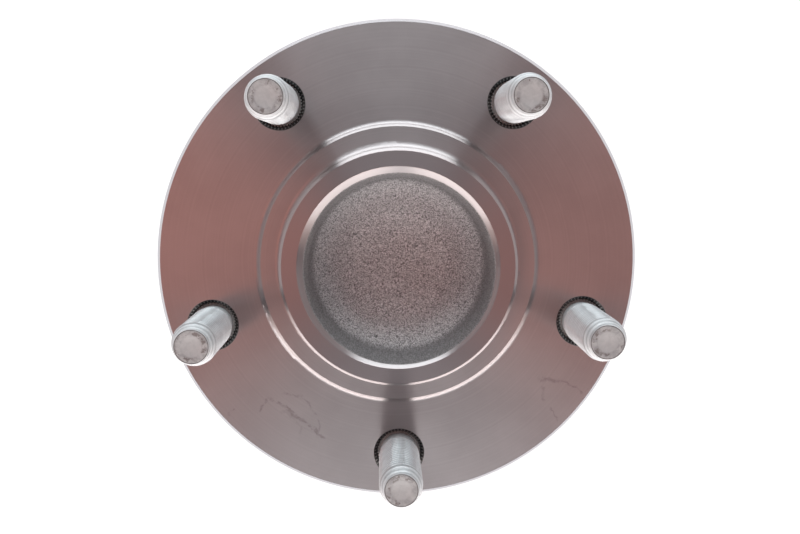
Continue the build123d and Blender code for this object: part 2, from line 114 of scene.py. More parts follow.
THREAD_R = 6.0
THREAD_PITCH = 1.5
THREAD_DEPTH = 0.92
THREAD_CREST, THREAD_ROOT = 0.80, 0.22   # shares of the profile where crest and root begin
THREAD_FOOT_Z = 1.4            # where the thread runs out above the neck
THREAD_RUN_OUT = 1.5           # pitches over which it does
THREAD_START_Z = STUD_TOP_Z - 0.2   # the thread begins on the taper
THREAD_START_SHARE = 0.45      # how deep it is there, of its full depth
THREAD_SEGMENTS = 72
THREAD_STEPS = 10              # rows of vertices per pitch
NECK_R = 5.6
KNURL_TOP_Z = -1.5
KNURL_TEETH = 44
KNURL_TOOTH = 0.62
KNURL_TOOTH_STEPS = 6          # segments per tooth
KNURL_LEAD = 0.6
KNURL_TOP_R = 6.1
KNURL_UNDERCUT = 0.25          # depth of the seam between collar and neck
END_TAPER = 1.45               # on the radius
END_TAPER_LENGTH = 4.0         # along the stud
END_R = THREAD_R - END_TAPER
END_GROOVE = ((0.02, 0.0), (0.10, 0.10), (0.22, 0.10), (0.32, 0.0))   # inset from END_R, depth
END_DIMPLE_R = 2.8
END_DIMPLE_WALL = 0.25
END_DIMPLE_DEPTH = 0.08
HEAD_R = 8.5
HEAD_ROUND = 0.8
HEAD_ROUND_STEPS = 6
POINT_R = 0.01                 # radius that stands for the middle of a closed face
HEAD_RECESS = ((POINT_R, 0.5), (3.6, 0.45), (4.6, 0.1), (5.0, 0.0))   # radius, depth
HEAD_SEGMENTS = 64

# ---------------------------------------------------------------- node building


class Nodes:
    """A node tree, built up by small calls that return sockets."""

    def __init__(self, tree, output_kind):
        self.tree = tree
        self.tree.nodes.clear()
        self.output = self.tree.nodes.new(output_kind)

    def node(self, kind, settings=None, **inputs):
        """A node; inputs go by socket name with _ for a space, or by number as in0, in1."""
        made = self.tree.nodes.new(kind)
        for key, value in (settings or {}).items():
            setattr(made, key, value)
        for key, value in inputs.items():
            socket = made.inputs[int(key[2:]) if key.startswith("in") else key.replace("_", " ")]
            self.set(socket, value)
        return made

    def set(self, socket, value):
        """Links a socket to value, or writes value on it."""
        if isinstance(value, bpy.types.NodeSocket):
            self.tree.links.new(value, socket)
        elif isinstance(value, tuple) and len(value) == 3 and socket.type == "RGBA":
            socket.default_value = (*value, 1.0)
        else:
            socket.default_value = value

    def finish(self, shader_node):
        """Joins the last shader node to the output."""
        self.tree.links.new(shader_node.outputs[0], self.output.inputs["Surface"])

    def math(self, operation, *values):
        made = self.node("ShaderNodeMath", {"operation": operation})
        for socket, value in zip(made.inputs, values):
            self.set(socket, value)
        return made.outputs[0]

    def weigh(self, a, weight_a, b, weight_b):
        """The weighted sum of two numbers."""
        return self.math("MULTIPLY_ADD", a, weight_a, self.math("MULTIPLY", b, weight_b))

    def length(self, x, y):
        square = self.math("MULTIPLY_ADD", x, x, self.math("MULTIPLY", y, y))
        return self.math("SQRT", square)

    def mix(self, share, a, b):
        """A colour between a and b."""
        made = self.node("ShaderNodeMix", {"data_type": "RGBA"}, in0=share, in6=a, in7=b)
        return made.outputs[2]

    def blend(self, share, a, b):
        """A number between a and b."""
        made = self.node("ShaderNodeMix", {"data_type": "FLOAT"}, in0=share, in2=a, in3=b)
        return made.outputs[0]

    def mix_vectors(self, share, a, b):
        """A vector between a and b."""
        made = self.node("ShaderNodeMix", {"data_type": "VECTOR"}, in0=share, in4=a, in5=b)
        return made.outputs[1]

    def step(self, value, low, high, to_low=0.0, to_high=1.0):
        """value carried smoothly from low..high to to_low..to_high; low may be the greater."""
        if low > high:
            low, high, to_low, to_high = high, low, to_high, to_low
        made = self.node("ShaderNodeMapRange", {"interpolation_type": "SMOOTHSTEP"})
        for socket, number in zip(made.inputs[:5], (value, low, high, to_low, to_high)):
            self.set(socket, number)
        return made.outputs[0]

    def split(self, vector):
        return self.node("ShaderNodeSeparateXYZ", in0=vector).outputs

    def background_rays(self):
        """1 for the rays that show the background: camera, glossy and transmission rays."""
        path = self.node("ShaderNodeLightPath").outputs
        seen = self.math("MAXIMUM", path["Is Camera Ray"], path["Is Glossy Ray"])
        return self.math("MAXIMUM", seen, path["Is Transmission Ray"])


class Shader(Nodes):
    """The nodes of a material."""

    def __init__(self, name):
        self.material = bpy.data.materials.new(name)
        self.material.use_nodes = True
        super().__init__(self.material.node_tree, "ShaderNodeOutputMaterial")

    @cached_property
    def point(self):
        """The point in the object's own frame, in metres."""
        return self.node("ShaderNodeTexCoord").outputs["Object"]

    @cached_property
    def xyz(self):
        """Its three coordinates, in metres."""
        return self.split(self.point)

    @cached_property
    def radius(self):
        """Distance from the object's Z axis, in millimetres."""
        return self.offset((0.0, 0.0))[2]

    @cached_property
    def height(self):
        """Height above the flange face, in millimetres."""
        return self.math("MULTIPLY", self.xyz[2], 1.0 / MM)

    def offset(self, centre):
        """X and Y from centre, and the distance, all in millimetres."""
        x, y, _ = self.xyz
        dx = self.math("MULTIPLY_ADD", x, 1.0 / MM, -centre[0])
        dy = self.math("MULTIPLY_ADD", y, 1.0 / MM, -centre[1])
        return dx, dy, self.length(dx, dy)

    def shifted(self, by):
        """The point moved on, so that the patterns of repeated pieces differ."""
        made = self.node("ShaderNodeVectorMath", {"operation": "ADD"}, in0=self.point, in1=by)
        return made.outputs[0]

    def noise(self, vector, scale, detail=3.0, roughness=0.55, distortion=0.0):
        made = self.node("ShaderNodeTexNoise", Vector=vector, Scale=scale, Detail=detail,
                         Roughness=roughness, Distortion=distortion)
        return made.outputs["Fac"]

    def line_noise(self, value, scale, detail=2.0, roughness=0.6):
        """Noise along one number; scale is per unit of that number."""
        made = self.node("ShaderNodeTexNoise", {"noise_dimensions": "1D"}, W=value, Scale=scale,
                         Detail=detail, Roughness=roughness)
        return made.outputs["Fac"]

    def bump(self, height, distance_m, strength):
        made = self.node("ShaderNodeBump", Height=height, Distance=distance_m, Strength=strength)
        return made.outputs[0]

    def any_way(self, scale):
        """A direction that changes from grain to grain."""
        colour = self.node("ShaderNodeTexNoise", Vector=self.point, Scale=scale).outputs["Color"]
        made = self.node("ShaderNodeVectorMath", {"operation": "SUBTRACT"}, in0=colour,
                         in1=(0.5, 0.5, 0.5))
        return made.outputs[0]

    def round_tangent(self):
        """The tangent that runs round the spin axis, along turned grooves."""
        return self.node("ShaderNodeTangent", {"direction_type": "RADIAL", "axis": "Z"}).outputs[0]

    def surface(self, **inputs):
        """The Principled shader, joined to the output."""
        self.finish(self.node("ShaderNodeBsdfPrincipled", None, **inputs))


# ---------------------------------------------------------------- hub: turned steel

TURNED_DARK, TURNED_LIGHT = (0.408, 0.368, 0.369), (0.458, 0.415, 0.416)
TURNED_ROUGH = (0.315, 0.365)
TOOL_MARKS_M, TOOL_MARKS_STRENGTH = 0.000012, 0.22
ANISOTROPY, QUARTER_TURN = 0.88, 0.25   # reflections spread across the tool marks
PILOT_TOP_STEEL = (0.375, 0.325, 0.328)
LAND_STEEL, LAND_ROUGH = (0.56, 0.555, 0.56), 0.2
RIM_STEEL, RIM_ROUGH = (0.57, 0.56, 0.585), 0.1
DRIED_DROP = (0.16, 0.13, 0.125)
HOLE_SHADE_DARK, HOLE_SHADE_LIGHT = (0.055, 0.05, 0.05), (0.26, 0.25, 0.245)
HOLE_SHADE_EDGE = (0.17, 0.16, 0.16)

# Dried drops and rubs on the flange face: centre, radius of the arc, the way it bulges
# (degrees), half of its span (degrees), half of its width, and strength. Millimetres.
RUB_MARKS = [
    (-67.2, -93.1, 60.5, 51.5, 9.9, 0.75, 0.52),
    (-37.5, -43.5, 3.3, 150.0, 35.0, 0.55, 0.50),
    (-34.0, -49.0, 10.2, 38.0, 52.0, 0.55, 0.32),
    (-36.0, -50.0, 6.5, 30.0, 50.0, 0.60, 0.20),
    (45.2, -47.0, 12.0, 90.0, 16.0, 1.00, 0.42),
    (42.1, -54.6, 20.0, 60.5, 11.0, 0.50, 0.40),
    (52.0, -39.5, 9.0, 180.0, 14.0, 0.80, 0.26),
    (24.4, -57.1, 25.0, 26.8, 6.0, 0.40, 0.34),
    (-48.3, -44.6, 1.8, 150.0, 45.0, 0.50, 0.35),
]
RUB_WANDER = 5.0               # how far the arcs stray from round, over the noise's full range


def rub_marks(s):
    """How far the flange is marked, from 0 to 1: ragged arcs left by dried drops."""
    wander = s.math("SUBTRACT", s.noise(s.point, 190.0, 4.0, 0.65), 0.5)
    broken = s.step(s.noise(s.point, 420.0, 3.0, 0.7), 0.34, 0.60)
    total = 0.0
    for x, y, arc_r, way, span, width, strength in RUB_MARKS:
        dx, dy, away = s.offset((x, y))
        strayed = s.math("MULTIPLY_ADD", wander, RUB_WANDER, away)
        off = s.math("ABSOLUTE", s.math("SUBTRACT", strayed, arc_r))
        line = s.step(off, 0.25 * width, width, strength, 0.0)
        cos_way, sin_way = math.cos(math.radians(way)), math.sin(math.radians(way))
        along = s.math("MULTIPLY_ADD", dy, sin_way, s.math("MULTIPLY", dx, cos_way))
        across = s.math("MULTIPLY_ADD", dy, cos_way, s.math("MULTIPLY", dx, -sin_way))
        turn = s.math("ABSOLUTE", s.math("ARCTAN2", across, along))
        half = math.radians(span)
        arc = s.math("MULTIPLY", line, s.step(turn, half * 1.15, half * 0.85))
        total = s.math("MAXIMUM", total, arc)
    return s.math("MULTIPLY", total, broken)


def stud_hole_offset(s):
    """Distance and angle about the nearest stud's axis, in millimetres and radians."""
    x, y, _ = s.xyz
    sector = 2 * math.pi / len(STUDS)
    turn = s.math("ADD", s.math("ARCTAN2", y, x), math.pi / 2 + sector / 2)
    away = s.math("SUBTRACT", s.math("FLOORED_MODULO", turn, sector), sector / 2)
    dx = s.math("MULTIPLY_ADD", s.radius, s.math("COSINE", away), -STUD_CIRCLE_R)
    dy = s.math("MULTIPLY", s.radius, s.math("SINE", away))
    return s.length(dx, dy), s.math("ARCTAN2", dy, dx)


def shaded_stud_holes(s):
    """Where the stud holes are, and the colour of their bevels: painted shade on the bevel, with
    darker dots of painted shade for the gaps between the knurl's teeth and the hole's wall.
    """
    hole_r, hole_angle = stud_hole_offset(s)
    edge_r = STUD_HOLE_R + STUD_HOLE_BEVEL
    where = s.math("MULTIPLY", s.step(hole_r, edge_r + 0.12, edge_r), s.step(s.height, 0.0, -0.05))
    tooth = s.math("SINE", s.math("MULTIPLY", hole_angle, KNURL_TEETH))
    inward = s.step(hole_r, edge_r - 0.15, edge_r - 0.35)
    # dots of painted shade, for the dark gaps between the knurl's teeth and the hole's wall
    dots = s.math("MULTIPLY", s.step(tooth, 0.1, 0.8), inward)
    colour = s.mix(dots, HOLE_SHADE_DARK, HOLE_SHADE_LIGHT)
    # painted shade on the bevel's outer part
    colour = s.mix(s.step(hole_r, edge_r - 0.3, edge_r - 0.1), colour, HOLE_SHADE_EDGE)
    return where, colour


def turned_steel(s):
    """Colour, roughness and normal of turned steel with concentric tool marks and ground lands."""
    # tool marks run round the axis, so they are functions of the radius alone
    fine = s.line_noise(s.radius, 7.0, 2.0)
    feed = s.line_noise(s.radius, 1.6, 3.0)
    smears = s.noise(s.point, 38.0, 4.0, 0.6)
    normal = s.bump(s.weigh(fine, 0.6, feed, 0.4), TOOL_MARKS_M, TOOL_MARKS_STRENGTH)
    tone = s.weigh(feed, 0.3, smears, 0.7)
    colour = s.mix(s.step(tone, 0.35, 0.65), TURNED_DARK, TURNED_LIGHT)
    rough = s.blend(smears, *TURNED_ROUGH)
    rough = s.math("MULTIPLY_ADD", feed, 0.035, rough)

    pilot_top = s.step(s.height, PILOT_Z - 0.3, PILOT_Z - 0.1)
    land = s.math(
        "MULTIPLY",
        s.step(s.radius, LAND_R + 0.3, LAND_R),
        s.step(s.height, LAND_Z + 0.3, LAND_Z),
    )
    colour = s.mix(pilot_top, colour, PILOT_TOP_STEEL)
    colour = s.mix(land, colour, LAND_STEEL)
    rough = s.blend(land, rough, LAND_ROUGH)
    rough = s.math("MULTIPLY_ADD", pilot_top, -0.07, rough)

    marks = s.math("MULTIPLY", rub_marks(s), s.step(s.height, -0.3, -0.1))
    colour = s.mix(marks, colour, DRIED_DROP)
    rough = s.math("MULTIPLY_ADD", marks, 0.16, rough)

    rim = s.math(
        "MULTIPLY",
        s.step(s.radius, RIM_R, RIM_R + 0.15),
        s.step(s.height, RIM_Z, RIM_Z + 0.2),
    )
    colour = s.mix(rim, colour, RIM_STEEL)
    rough = s.blend(rim, rough, RIM_ROUGH)

    # painted shade in the stud holes' bevels and between the knurl's teeth
    hole_shade, hole_shade_colour = shaded_stud_holes(s)
    colour = s.mix(hole_shade, colour, hole_shade_colour)
    rough = s.math("MULTIPLY_ADD", hole_shade, 0.15, rough)
    return colour, rough, normal


# ---------------------------------------------------------------- hub: forged cup

GRAIN_DARK, GRAIN_LIGHT = (0.145, 0.137, 0.136), (0.81, 0.785, 0.785)
GRAIN_SQUEEZE = 0.22           # share of Z in the grain, which is drawn out along the cup's wall
SKIN_ROUGH = (0.42, 0.54)
SKIN_RELIEF_M, SKIN_STRENGTH = 0.00042, 0.8
PIT_DARK = (0.06, 0.05, 0.05)
CUP_EDGE_SHADE = (0.12, 0.11, 0.11)
CUP_SIDE_SHADE = (0.14, 0.13, 0.135)
CUP_FLOOR_METALLIC, CUP_SIDE_METALLIC = 0.8, 0.05


def blasted_skin(s, inside):
    """Colour, metallic share, roughness and normal of the forged cup's shot-blasted skin.

    inside is the distance from the cup's wall. The floor is bare metal, the side duller, and
    painted shade darkens the colour towards the wall, most on the wall itself.
    """
    # close grain, some larger peening, soft lumps and a few pits from forging scale
    x, y, z = s.xyz
    drawn_z = s.math("MULTIPLY", z, GRAIN_SQUEEZE)
    drawn = s.node("ShaderNodeCombineXYZ", X=x, Y=y, Z=drawn_z).outputs[0]
    grain = s.noise(drawn, 3600.0, 3.0, 0.75, 0.4)
    peened = s.noise(drawn, 1900.0, 3.0, 0.6, 0.5)
    lumps = s.noise(s.point, 170.0, 4.0, 0.6)
    pits = s.step(s.noise(s.point, 520.0, 2.0, 0.5), 0.70, 0.76)

    speckle = s.weigh(grain, 0.7, peened, 0.3)
    colour = s.mix(s.step(speckle, 0.40, 0.60), GRAIN_DARK, GRAIN_LIGHT)
    colour = s.mix(s.math("MULTIPLY", pits, 0.7), colour, PIT_DARK)
    # painted shade on the cup's wall and just inside it
    colour = s.mix(s.step(inside, 0.0, 1.2, 0.7, 0.0), colour, CUP_EDGE_SHADE)
    # painted shade over a wider band, fading from near the wall towards the middle
    colour = s.mix(s.step(inside, 5.0, 12.0, 0.22, 0.0), colour, CUP_SIDE_SHADE)
    metallic = s.step(inside, 8.0, 3.5, CUP_FLOOR_METALLIC, CUP_SIDE_METALLIC)
    rough = s.blend(peened, *SKIN_ROUGH)
    relief = s.weigh(speckle, 0.55, lumps, 0.9)
    relief = s.math("MULTIPLY_ADD", pits, -0.4, relief)
    return colour, metallic, rough, s.bump(relief, SKIN_RELIEF_M, SKIN_STRENGTH)


def hub_material():
    """Turned steel with a shot-blasted forged cup in the pilot."""
    s = Shader("hub_steel")
    wall = s.math("MULTIPLY_ADD", s.height, CUP_SLOPE, CUP_R - PILOT_Z * CUP_SLOPE)
    inside = s.math("SUBTRACT", wall, s.offset(CUP_CENTRE)[2])
    high_enough = s.step(s.height, CUP_LOW_Z, CUP_LOW_Z + 0.4)
    cup = s.math("MULTIPLY", s.step(inside, -0.3, -0.12), high_enough)
    colour, rough, normal = turned_steel(s)
    cup_colour, cup_metallic, cup_rough, cup_normal = blasted_skin(s, inside)
    s.surface(
        Base_Color=s.mix(cup, colour, cup_colour),
        Metallic=s.blend(cup, 1.0, cup_metallic),
        Roughness=s.blend(cup, rough, cup_rough),
        Anisotropic=ANISOTROPY,
        Anisotropic_Rotation=QUARTER_TURN,
        Tangent=s.mix_vectors(cup, s.round_tangent(), s.any_way(1900.0)),
        Normal=s.mix_vectors(cup, normal, cup_normal),
    )
    return s


# ---------------------------------------------------------------- outer ring

FORGED_DARK, FORGED_LIGHT = (0.15, 0.145, 0.145), (0.34, 0.33, 0.325)
RING_TURNED_DARK, RING_TURNED_LIGHT = (0.39, 0.38, 0.38), (0.47, 0.46, 0.46)
FORGED_ROUGH, RING_TURNED_ROUGH = (0.46, 0.62), (0.26, 0.36)
THREAD_SHADE = (0.10, 0.095, 0.09)
RING_RELIEF_M = 0.00022
RING_FEED_SHARE = 0.05         # of that relief, for the tool marks
EAR_THREAD_SHARE = 2.0         # of that relief, for the threads


def ear_thread(s):
    """Where the knuckle bolt holes are, and the height of their thread from 0 to 1."""
    x, y, z = s.xyz
    dx = s.math("SUBTRACT", s.math("ABSOLUTE", x), EAR_CENTRE * MM)
    dy = s.math("SUBTRACT", s.math("ABSOLUTE", y), EAR_CENTRE * MM)
    hole_r = s.math("MULTIPLY", s.length(dx, dy), 1.0 / MM)
    hole = s.step(hole_r, EAR_HOLE_R + 0.25, EAR_HOLE_R + 0.1)
    # folding X and Y mirrors two of the holes, and hand turns their thread right-handed again
    hand = s.math("MULTIPLY", s.math("SIGN", x), s.math("SIGN", y))
    angle = s.math("MULTIPLY", s.math("ARCTAN2", dy, dx), hand)
    pitches = s.math("DIVIDE", z, EAR_THREAD_PITCH * MM)
    turn = s.math("MULTIPLY_ADD", angle, -0.5 / math.pi, pitches)
    return hole, s.math("MULTIPLY", s.math("PINGPONG", turn, 0.5), 2.0)


def forged_ring():
    """Dark forged skin, with turned faces where the ring meets the knuckle, and tapped holes with
    painted shade in their thread roots.
    """
    s = Shader("ring_steel")
    spigot = s.step(s.height, KNUCKLE_FACE_Z + 0.2, KNUCKLE_FACE_Z + 0.05)
    front = s.step(s.height, RING_FRONT_Z - 0.15, RING_FRONT_Z - 0.05)
    bore = s.step(s.radius, RING_BORE_R + 0.4, RING_BORE_R)
    turned = s.math("MAXIMUM", s.math("MAXIMUM", spigot, front), bore)
    hole, thread = ear_thread(s)

    skin = s.noise(s.point, 150.0, 5.0, 0.62)
    grain = s.noise(s.point, 1500.0, 3.0, 0.7)
    feed = s.line_noise(s.math("ADD", s.radius, s.height), 4.5, 3.0)
    skin_tone = s.weigh(skin, 0.6, grain, 0.4)
    skin_colour = s.mix(s.step(skin_tone, 0.32, 0.68), FORGED_DARK, FORGED_LIGHT)
    turned_colour = s.mix(s.step(feed, 0.3, 0.7), RING_TURNED_DARK, RING_TURNED_LIGHT)
    colour = s.mix(turned, skin_colour, turned_colour)
    # painted shade in the roots of the knuckle bolt holes' threads
    colour = s.mix(s.math("MULTIPLY", hole, s.step(thread, 0.7, 0.1)), colour, THREAD_SHADE)

    relief = s.math("MULTIPLY", skin_tone, s.step(turned, 0.9, 0.1))
    relief = s.math("MULTIPLY_ADD", s.math("MULTIPLY", feed, turned), RING_FEED_SHARE, relief)
    relief = s.math("MULTIPLY_ADD", s.math("MULTIPLY", hole, thread), EAR_THREAD_SHARE, relief)
    rough = s.blend(turned, s.blend(skin, *FORGED_ROUGH), s.blend(feed, *RING_TURNED_ROUGH))
    s.surface(
        Base_Color=colour,
        Metallic=1.0,
        Roughness=rough,
        Normal=s.bump(relief, RING_RELIEF_M, 0.8),
    )
    return s


# ---------------------------------------------------------------- studs

COAT_DARK, COAT_LIGHT = (0.505, 0.515, 0.525), (0.635, 0.65, 0.66)
COAT_ROUGH = (0.40, 0.55)
COAT_METALLIC = 0.3
COAT_RELIEF_M = 0.00003
FLANK_SHADE = (0.17, 0.175, 0.18)
END_DARK, END_LIGHT = (0.33, 0.33, 0.33), (0.46, 0.46, 0.455)
END_MIDDLE = (0.47, 0.47, 0.465)
END_SMUDGE = (0.15, 0.125, 0.12)
END_RIM_SHADE = (0.14, 0.125, 0.12)
PATTERN_SHIFT_M = 0.05         # between one stud's pattern and the next one's


def stud_end_face(s, mottle, smudges):
    """Colour of the end face: dull, with painted shade at its rim, its middle cleaner and smudged
    round about.
    """
    colour = s.mix(s.step(mottle, 0.35, 0.65), END_DARK, END_LIGHT)
    ragged_r = s.math("MULTIPLY_ADD", mottle, 0.8, s.radius)
    middle = s.step(ragged_r, END_DIMPLE_R + 0.5, END_DIMPLE_R)
    colour = s.mix(s.math("MULTIPLY", middle, 0.6), colour, END_MIDDLE)
    ring = s.math("ABSOLUTE", s.math("SUBTRACT", s.radius, END_DIMPLE_R + 0.8))
    smudge = s.math("MULTIPLY", s.step(ring, 1.0, 0.3), s.step(smudges, 0.50, 0.58))
    smudge = s.math("MULTIPLY", smudge, s.step(mottle, 0.40, 0.52))
    colour = s.mix(s.math("MULTIPLY", smudge, 0.85), colour, END_SMUDGE)
    # painted shade in a ring at the face's edge, by the groove round it
    return s.mix(s.step(s.radius, END_R - 0.30, END_R - 0.12, 0.0, 0.8), colour, END_RIM_SHADE)


def coated_stud(number):
    """Silver-grey flake coating, rubbed off the end face, with painted shade in the thread's
    grooves.
    """
    s = Shader(f"stud_coating_{number}")
    point = s.shifted((PATTERN_SHIFT_M * number, 0.0, 0.0))
    blotch = s.noise(point, 330.0, 4.0, 0.6)
    grain = s.noise(point, 2600.0, 3.0, 0.7)
    mottle = s.noise(point, 750.0, 5.0, 0.7, 0.5)
    smudges = s.noise(point, 260.0, 4.0, 0.7)
    colour = s.mix(s.step(s.weigh(blotch, 0.6, grain, 0.4), 0.3, 0.7), COAT_DARK, COAT_LIGHT)

    # painted shade on the flanks and roots of the thread, a little stronger near the end
    below = s.math("SUBTRACT", STUD_TOP_Z, s.height)
    taper = s.math("MULTIPLY_ADD", below, END_TAPER / END_TAPER_LENGTH, END_R)
    cut = s.math("SUBTRACT", s.math("MINIMUM", taper, THREAD_R), s.radius)
    threaded = s.step(s.height, THREAD_FOOT_Z, THREAD_FOOT_Z + 1.0)
    groove = s.math("MULTIPLY", s.step(cut, 0.08, 0.34), threaded)
    groove_shade_share = s.step(s.height, STUD_TOP_Z - 9.0, STUD_TOP_Z - 4.5, 0.35, 0.4)
    colour = s.mix(s.math("MULTIPLY", groove, groove_shade_share), colour, FLANK_SHADE)

    end = s.math(
        "MULTIPLY",
        s.step(s.height, STUD_TOP_Z - 0.25, STUD_TOP_Z - 0.18),
        s.step(s.radius, END_R + 0.02, END_R - 0.02),
    )
    relief = s.math("MULTIPLY_ADD", s.math("MULTIPLY", mottle, end), 1.5, grain)
    s.surface(
        Base_Color=s.mix(end, colour, stud_end_face(s, mottle, smudges)),
        Metallic=COAT_METALLIC,
        Roughness=s.math("MULTIPLY_ADD", end, 0.08, s.blend(blotch, *COAT_ROUGH)),
        Normal=s.bump(relief, COAT_RELIEF_M, 0.6),
    )
    return s


# ---------------------------------------------------------------- plainer finishes

# name: darker and lighter colour, roughness range, blotches per metre, relief in metres, metallic
FINISHES = {
    # the knurl's colour is darker than the coating: painted shade of the hole that it sits in
    "knurl_shaded": ((0.24, 0.235, 0.23), (0.36, 0.35, 0.345), 0.45, 0.60, 600.0, 0.00004, 0.3),
    "ground_steel": ((0.55, 0.55, 0.56), (0.66, 0.66, 0.67), 0.15, 0.25, 90.0, 0.00001, 1.0),
    "ball_steel": ((0.74, 0.74, 0.76), (0.80, 0.80, 0.82), 0.04, 0.09, 120.0, 0.000005, 1.0),
    "pressed_steel": ((0.45, 0.46, 0.47), (0.60, 0.61, 0.62), 0.25, 0.38, 110.0, 0.00002, 1.0),
    "plated_cap": ((0.44, 0.43, 0.385), (0.58, 0.57, 0.52), 0.25, 0.42, 80.0, 0.00003, 1.0),
    "seal_rubber": ((0.020, 0.020, 0.021), (0.045, 0.044, 0.044), 0.55, 0.75, 200.0, 0.00003, 0.0),
    "magnet_rubber": ((0.06, 0.045, 0.035), (0.12, 0.09, 0.07), 0.50, 0.70, 200.0, 0.00003, 0.0),
    "cage_nylon": ((0.25, 0.18, 0.10), (0.36, 0.27, 0.16), 0.40, 0.55, 160.0, 0.00003, 0.0),
}
GRAIN_PER_BLOTCH = 12.0


def plain_finish(name, dark, light, rough_low, rough_high, scale, relief_m, metallic):
    """A surface whose tone and roughness drift, with a fine relief."""
    s = Shader(name)
    blotch = s.noise(s.point, scale, 5.0, 0.6)
    grain = s.noise(s.point, scale * GRAIN_PER_BLOTCH, 3.0, 0.7)
    s.surface(
        Base_Color=s.mix(s.step(s.weigh(blotch, 0.6, grain, 0.4), 0.3, 0.7), dark, light),
        Metallic=metallic,
        Roughness=s.blend(blotch, rough_low, rough_high),
        Normal=s.bump(grain, relief_m, 0.7),
    )
    return s


def finish_node(node, shader):
    """Gives a CAD node its material."""
    mesh = nodes[node].data
    mesh.materials.clear()
    mesh.materials.append(shader.material)


NODE_FINISHES = {
    "inner_ring": "ground_steel",
    "seal_case": "pressed_steel",
    "encoder_carrier": "pressed_steel",
    "seal_lips": "seal_rubber",
    "encoder_magnet": "magnet_rubber",
    "end_cap": "plated_cap",
    "cage_outboard": "cage_nylon",
    "cage_inboard": "cage_nylon",
}
NODE_FINISHES.update({node: "ball_steel" for node in nodes if node.startswith("ball_")})

finish_node("hub_flange", hub_material())
finish_node("outer_ring", forged_ring())
finishes = {name: plain_finish(name, *numbers) for name, numbers in FINISHES.items()}
for node, name in NODE_FINISHES.items():
    finish_node(node, finishes[name])

# ---------------------------------------------------------------- wheel studs


def thread_radius(z, angle):
    """Radius of the right-handed thread's surface at height z and angle."""
    if z <= THREAD_FOOT_Z:
        return NECK_R
    turn = (z / THREAD_PITCH - angle / (2 * math.pi)) % 1.0
    away = abs(turn - 0.5) * 2.0                      # 1 at the crest, 0 at the root
    share = min(max((away - THREAD_ROOT) / (THREAD_CREST - THREAD_ROOT), 0.0), 1.0)
    radius = THREAD_R - THREAD_DEPTH * (1.0 - share)
    run_out = min((z - THREAD_FOOT_Z) / (THREAD_RUN_OUT * THREAD_PITCH), 1.0)
    return NECK_R + (radius - NECK_R) * run_out


def tapered_thread_radius(z, angle):
    """The thread with its lead-in taper, on which it starts a little below the end face."""
    taper = END_R + (STUD_TOP_Z - z) * END_TAPER / END_TAPER_LENGTH
    if z >= THREAD_START_Z:
        return taper
    cut = THREAD_R - thread_radius(z, angle)
    start = min((THREAD_START_Z - z) / THREAD_PITCH, 1.0)
    return min(THREAD_R - cut, taper - THREAD_START_SHARE * cut * start)


def flat(radius):
    """A round row of a lathed mesh: the same radius at every angle."""
    return lambda angle: radius


def lathe(name, rows, segments, close_low=False, close_high=False):
    """A mesh of rings: rows of (z, radius function of the angle), in millimetres."""
    vertices, faces = [], []
    for z, radius_at in rows:
        for k in range(segments):
            angle = 2 * math.pi * k / segments
            r = radius_at(angle)
            vertices.append((r * math.cos(angle) * MM, r * math.sin(angle) * MM, z * MM))
    for i in range(len(rows) - 1):
        for k in range(segments):
            a, b = i * segments + k, i * segments + (k + 1) % segments
            faces.append((a, b, b + segments, a + segments))
    if close_low:
        faces.append(tuple(reversed(range(segments))))
    if close_high:
        faces.append(tuple(range((len(rows) - 1) * segments, len(rows) * segments)))
    mesh = bpy.data.meshes.new(name)
    mesh.from_pydata(vertices, [], faces)
    mesh.update()
    return mesh


def smooth(mesh, angle):
    """Smooth shading with edges sharper than angle (degrees) kept sharp."""
    for polygon in mesh.polygons:
        polygon.use_smooth = True
    mesh.set_sharp_from_angle(angle=math.radians(angle))


def shank_mesh(name, start):
    """Neck, thread, end taper and dimpled end face; start turns the thread about its axis."""
    length = STUD_TOP_Z - THREAD_FOOT_Z
    count = int(length / THREAD_PITCH * THREAD_STEPS)
    rows = [(KNURL_TOP_Z, flat(NECK_R)), (THREAD_FOOT_Z, flat(NECK_R))]
    for i in range(1, count + 1):
        z = THREAD_FOOT_Z + length * i / count
        rows.append((z, lambda angle, z=z: tapered_thread_radius(z, angle + start)))
    rows += [(STUD_TOP_Z - depth, flat(END_R - inset)) for inset, depth in END_GROOVE]
    rows += [
        (STUD_TOP_Z, flat(END_DIMPLE_R + END_DIMPLE_WALL)),
        (STUD_TOP_Z - END_DIMPLE_DEPTH, flat(END_DIMPLE_R)),
        (STUD_TOP_Z - END_DIMPLE_DEPTH, flat(POINT_R)),
    ]
    mesh = lathe(name, rows, THREAD_SEGMENTS, close_high=True)
    smooth(mesh, 40.0)
    return mesh


def knurl_mesh(name, start):
    """Knurled collar pressed in the flange, with its pointed teeth."""

    def teeth(crest_r):
        def radius_at(angle):
            phase = ((angle + start) * KNURL_TEETH / (2 * math.pi)) % 1.0
            return crest_r - KNURL_TOOTH * abs(phase - 0.5) * 2.0

        return radius_at

    rows = [
        (FLANGE_BACK_Z, teeth(STUD_HOLE_R)),
        (KNURL_TOP_Z - KNURL_LEAD, teeth(STUD_HOLE_R)),
        (KNURL_TOP_Z, teeth(STUD_HOLE_R - KNURL_LEAD * 0.25)),
        (KNURL_TOP_Z, flat(KNURL_TOP_R)),
        (KNURL_TOP_Z - KNURL_UNDERCUT, flat(KNURL_TOP_R - 0.2)),
        (KNURL_TOP_Z - KNURL_UNDERCUT, flat(NECK_R - 0.1)),
    ]
    mesh = lathe(name, rows, KNURL_TEETH * KNURL_TOOTH_STEPS)
    smooth(mesh, 20.0)
    return mesh


